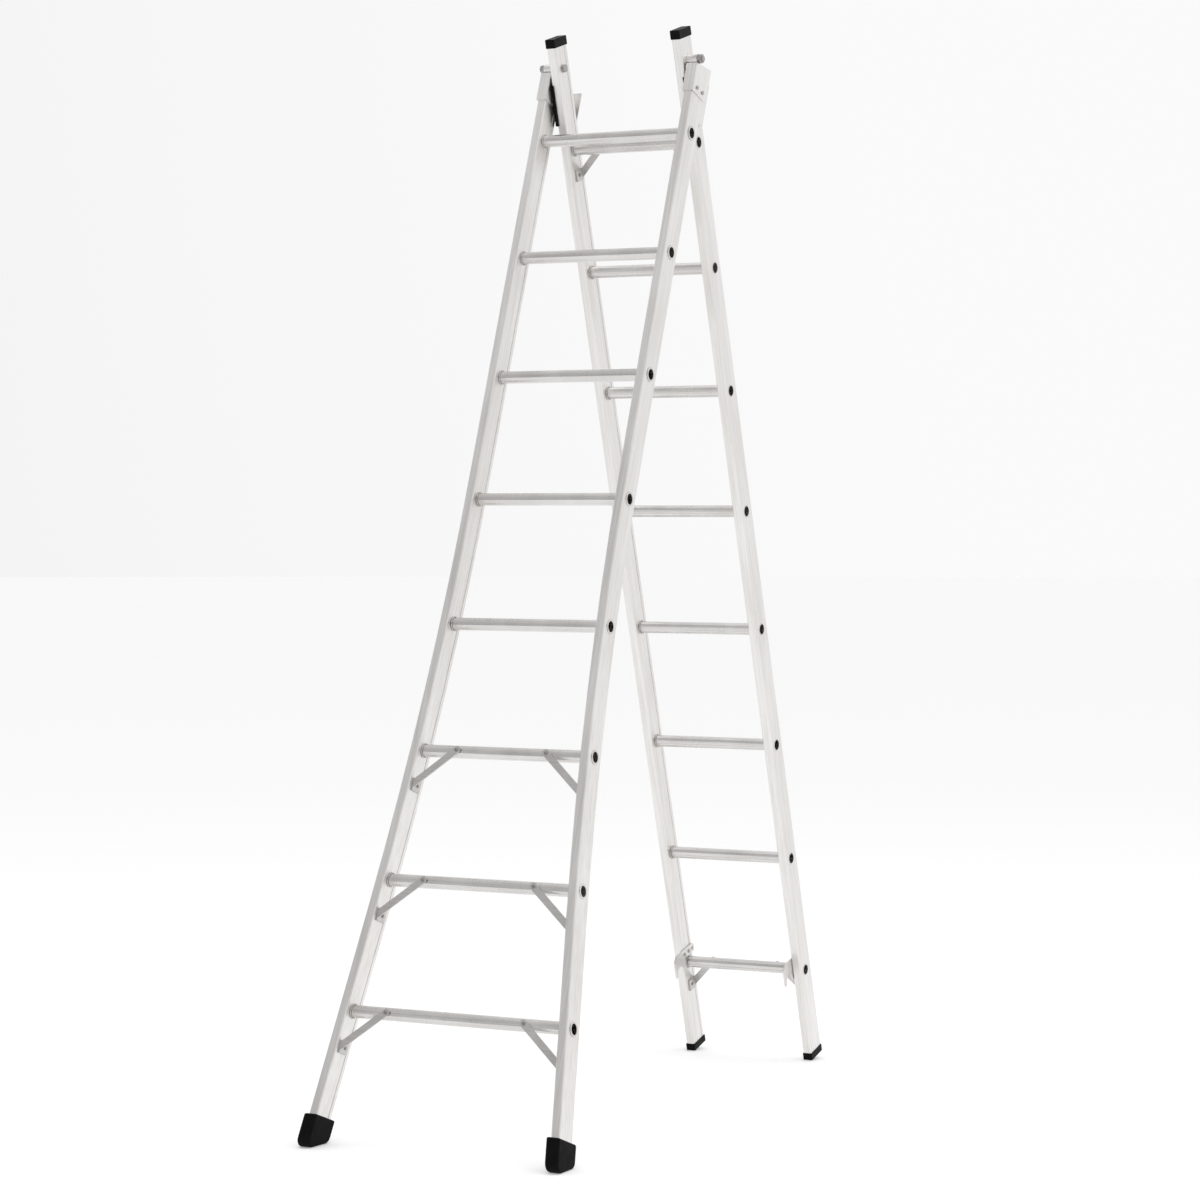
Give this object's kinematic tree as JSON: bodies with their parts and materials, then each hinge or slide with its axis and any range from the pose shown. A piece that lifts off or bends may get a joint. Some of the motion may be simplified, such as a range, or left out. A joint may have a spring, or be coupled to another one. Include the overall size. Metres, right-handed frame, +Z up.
{
  "type": "extension ladder",
  "caption": "Aluminium extension ladder of a flared front section and a narrower rear section, opened as an A-frame and hung on bolts at the top brackets.",
  "frame": {"origin": "on the floor, in the middle of the open ladder's footprint", "axes": "+X along the rungs to the right seen from the front section, +Y from the front section to the rear section, +Z up"},
  "size_m": [0.6062, 1.548, 2.3433],
  "materials": {
    "aluminium": "mill finish, drawn along the stile",
    "rung_metal": "mill finish, drawn along the tube",
    "brace_metal": "dull mill finish",
    "bracket_metal": "folded sheet, mill finish",
    "steel": "zinc plated, satin",
    "rubber": "moulded, matte",
    "black_plastic": "moulded, matte"
  },
  "bodies": {
    "front_section": {"front_stile_left": "aluminium", "front_stile_right": "aluminium", "front_rung_1": "rung_metal", "front_rung_2": "rung_metal", "front_rung_3": "rung_metal", "front_rung_4": "rung_metal", "front_rung_5": "rung_metal", "front_rung_6": "rung_metal", "front_rung_7": "rung_metal", "front_rung_8": "rung_metal", "front_brace_1_left": "brace_metal", "front_brace_1_right": "brace_metal", "front_brace_2_left": "brace_metal", "front_brace_2_right": "brace_metal", "front_brace_3_left": "brace_metal", "front_brace_3_right": "brace_metal", "front_foot_left": "rubber", "front_foot_right": "rubber", "top_bracket_left": "bracket_metal", "top_bracket_right": "bracket_metal", "bracket_rivet_left_1": "steel", "bracket_rivet_left_2": "steel", "bracket_rivet_right_1": "steel", "bracket_rivet_right_2": "steel"},
    "guide_shoes": {"guide_shoe_left": "black_plastic", "guide_shoe_right": "black_plastic"},
    "rear_section": {"rear_stile_left": "aluminium", "rear_stile_right": "aluminium", "rear_rung_1": "rung_metal", "rear_rung_2": "rung_metal", "rear_rung_3": "rung_metal", "rear_rung_4": "rung_metal", "rear_rung_5": "rung_metal", "rear_rung_6": "rung_metal", "rear_rung_7": "rung_metal", "rear_rung_8": "rung_metal", "rear_brace_1_left": "brace_metal", "rear_brace_1_right": "brace_metal", "rear_brace_8_left": "brace_metal", "rear_brace_8_right": "brace_metal", "rear_plug_left": "black_plastic", "rear_plug_right": "black_plastic", "rear_cap_left": "black_plastic", "rear_cap_right": "black_plastic", "top_bolt_left": "steel", "top_bolt_right": "steel", "spacer_left": "rung_metal", "spacer_right": "rung_metal", "nut_left": "steel", "nut_right": "steel", "rung_hook_left": "steel", "rung_hook_right": "steel", "hook_rivet_left_1": "steel", "hook_rivet_left_2": "steel", "hook_rivet_right_1": "steel", "hook_rivet_right_2": "steel"}
  },
  "joints": [
    {"name": "fold", "type": "hinge", "parent": "front_section", "child": "guide_shoes", "pos_m": [0, 0.09847, 2.16109], "axis": [-1, 0, 0], "range_deg": [0, 36.8]},
    {"name": "extend", "type": "slide", "parent": "guide_shoes", "child": "rear_section", "axis": [0, -0.2881, 0.9576], "range_m": [0, 1.68]}
  ]
}
